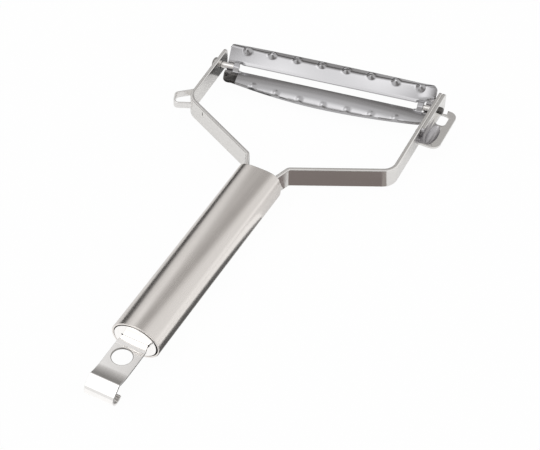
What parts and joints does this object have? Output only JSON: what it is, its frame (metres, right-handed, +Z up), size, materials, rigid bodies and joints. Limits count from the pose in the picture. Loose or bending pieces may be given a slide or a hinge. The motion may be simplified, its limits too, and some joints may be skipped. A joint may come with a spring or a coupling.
{
  "type": "wide peeler",
  "caption": "Wide vegetable peeler: oval tube handle with hanging hook, wishbone strap frame, slotted swivel blade set at a slant, eye loop on one shoulder and pierced scoop on the other arm.",
  "frame": {"origin": "middle of the underside of the bounding box, under the neck of the frame", "axes": "+Y along the handle from the hook to the head, +Z up out of the face seen in use, +X to the arm that carries the scoop"},
  "size_m": [0.115, 0.211, 0.0164],
  "materials": {
    "steel_brushed": "fine lengthwise brushing",
    "steel_strap": "satin strip with bright cut edges",
    "steel_blade": "smooth rolled sheet, ground cutting edges",
    "steel_polished": "polished"
  },
  "bodies": {
    "frame": {"handle_tube": "steel_brushed", "end_cap": "steel_polished", "neck_plate": "steel_polished", "frame_strap": "steel_strap", "hanger_hook": "steel_polished", "pivot_pin_left": "steel_polished", "pivot_pin_right": "steel_polished", "eye_loop": "steel_polished", "eye_scoop": "steel_polished"},
    "blade": {"blade": "steel_blade"}
  },
  "joints": [
    {"name": "blade_pivot", "type": "hinge", "parent": "frame", "child": "blade", "pos_m": [-0.00219, 0.08775, 0.0078], "axis": [0.9799, 0.1995, 0], "range_deg": [-65, 25]}
  ]
}
